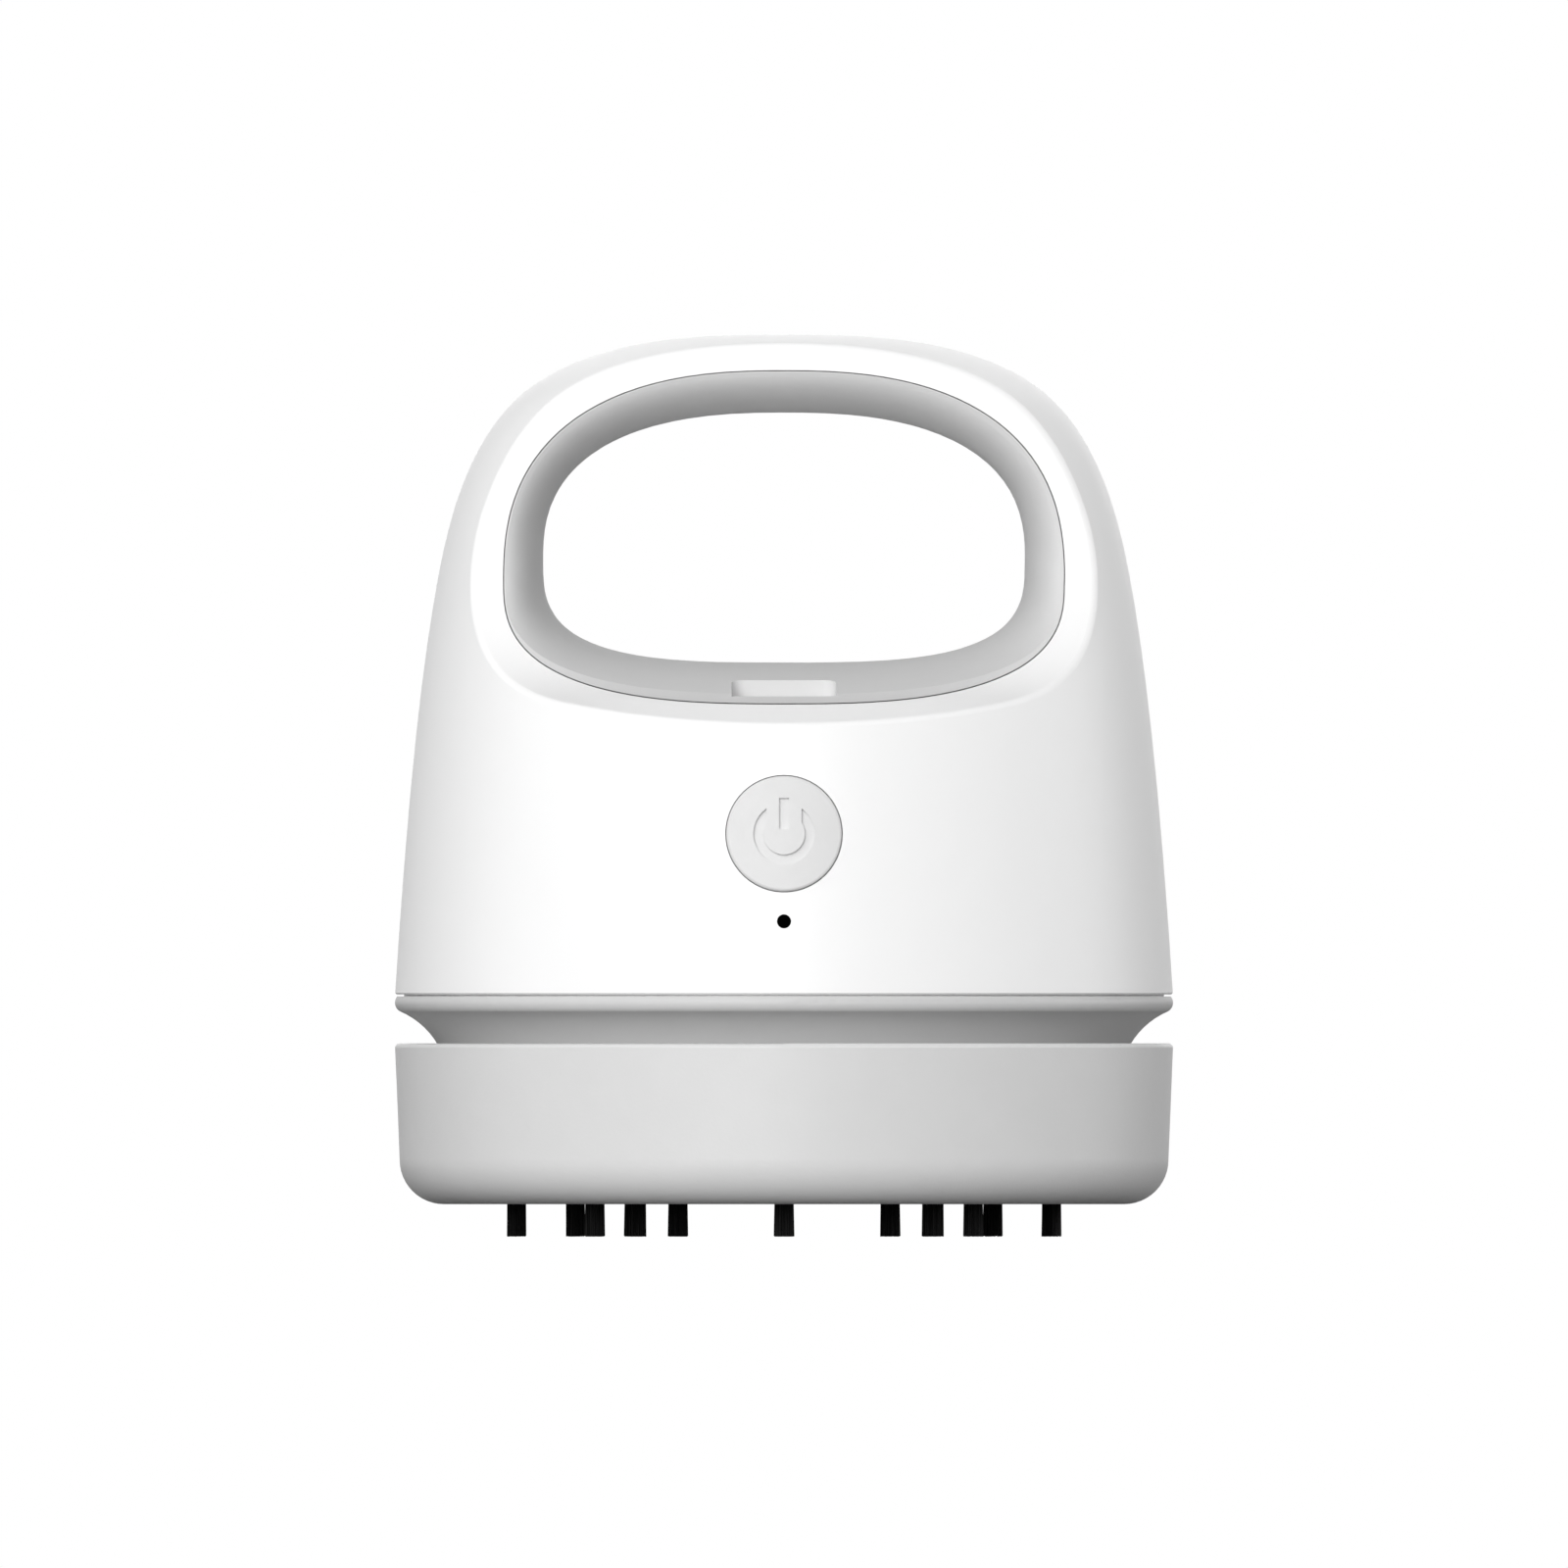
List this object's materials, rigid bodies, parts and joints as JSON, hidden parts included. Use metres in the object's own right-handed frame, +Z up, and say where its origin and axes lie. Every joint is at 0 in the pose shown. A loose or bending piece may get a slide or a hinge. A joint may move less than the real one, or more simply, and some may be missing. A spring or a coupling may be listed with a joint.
{
  "type": "desktop mini vacuum cleaner",
  "caption": "Round desk vacuum cleaner with a see-through handle, front power button, pull-off dust cup and short black bristles below.",
  "frame": {"origin": "on the upright centre axis at the bristle tips, on the surface that the object stands on", "axes": "+Z up, the power button faces -Y, +X to the right seen from the front"},
  "size_m": [0.0862, 0.0862, 0.0998],
  "materials": {
    "housing_white": "satin moulded plastic",
    "liner_grey": "fine matt moulded plastic",
    "base_grey": "fine matt moulded plastic",
    "cup_grey": "smooth moulded plastic",
    "button_grey": "satin moulded plastic",
    "inner_grey": "plain moulded plastic",
    "inner_white": "plain moulded plastic",
    "rubber_black": "matt rubber",
    "bristle_black": "nylon filament tufts",
    "steel": "plain steel",
    "zinc": "bright zinc plate",
    "bronze": "sintered bronze",
    "copper": "enamelled copper wire",
    "magnet": "ferrite",
    "carbon": "pressed carbon",
    "filter_paper": "pleated filter paper",
    "board_green": "solder mask on glass epoxy",
    "switch_black": "plain moulded plastic",
    "smoke_clear": "smoked clear plastic",
    "led_white": "clear resin",
    "cell_wrap": "shrink wrap over a steel can",
    "wire_red": "wire insulation"
  },
  "bodies": {
    "main_unit": {"front_housing": "housing_white", "rear_housing": "housing_white", "grip_liner": "liner_grey", "base_ring": "base_grey", "base_screws": "zinc", "seal_ring": "rubber_black", "fan_shroud": "inner_white", "filter_frame": "inner_grey", "filter_media": "filter_paper", "motor_gasket": "rubber_black", "motor_can": "zinc", "motor_end_cap": "switch_black", "motor_bushes": "bronze", "motor_magnets": "magnet", "motor_brushes": "carbon", "motor_screws": "zinc", "switch_body": "switch_black", "light_pipe": "smoke_clear", "status_led": "led_white", "control_board": "board_green", "control_board_screws": "zinc", "battery_cell": "cell_wrap", "battery_cradle": "inner_grey", "cradle_screws": "zinc", "charging_board": "board_green", "charging_board_screws": "zinc", "charging_port": "steel", "motor_leads": "wire_red", "battery_leads": "wire_red", "charging_leads": "wire_red"},
    "rotor": {"motor_shaft": "steel", "armature_core": "steel", "armature_windings": "copper", "commutator": "copper", "impeller": "inner_white"},
    "dust_cup_unit": {"dust_cup": "cup_grey", "cup_collar": "inner_grey", "inlet_tube": "inner_grey", "brush_plate": "cup_grey", "brush_plate_screws": "zinc", "bristle_row_1": "bristle_black", "bristle_row_2": "bristle_black", "bristle_row_3": "bristle_black", "bristle_row_4": "bristle_black", "bristle_row_5": "bristle_black", "bristle_row_6": "bristle_black", "bristle_row_7": "bristle_black", "bristle_row_8": "bristle_black"},
    "button": {"power_button": "button_grey", "switch_plunger": "inner_white"}
  },
  "joints": [
    {"name": "fan_spin", "type": "hinge", "parent": "main_unit", "child": "rotor", "pos_m": [0, 0, 0.036], "axis": [0, 0, 1], "continuous": true},
    {"name": "cup_pull", "type": "slide", "parent": "main_unit", "child": "dust_cup_unit", "axis": [0, 0, -1], "range_m": [0, 0.03]},
    {"name": "button_press", "type": "slide", "parent": "main_unit", "child": "button", "axis": [0, 1, 0], "range_m": [0, 0.0005], "stiffness_N_per_m": 2000}
  ]
}
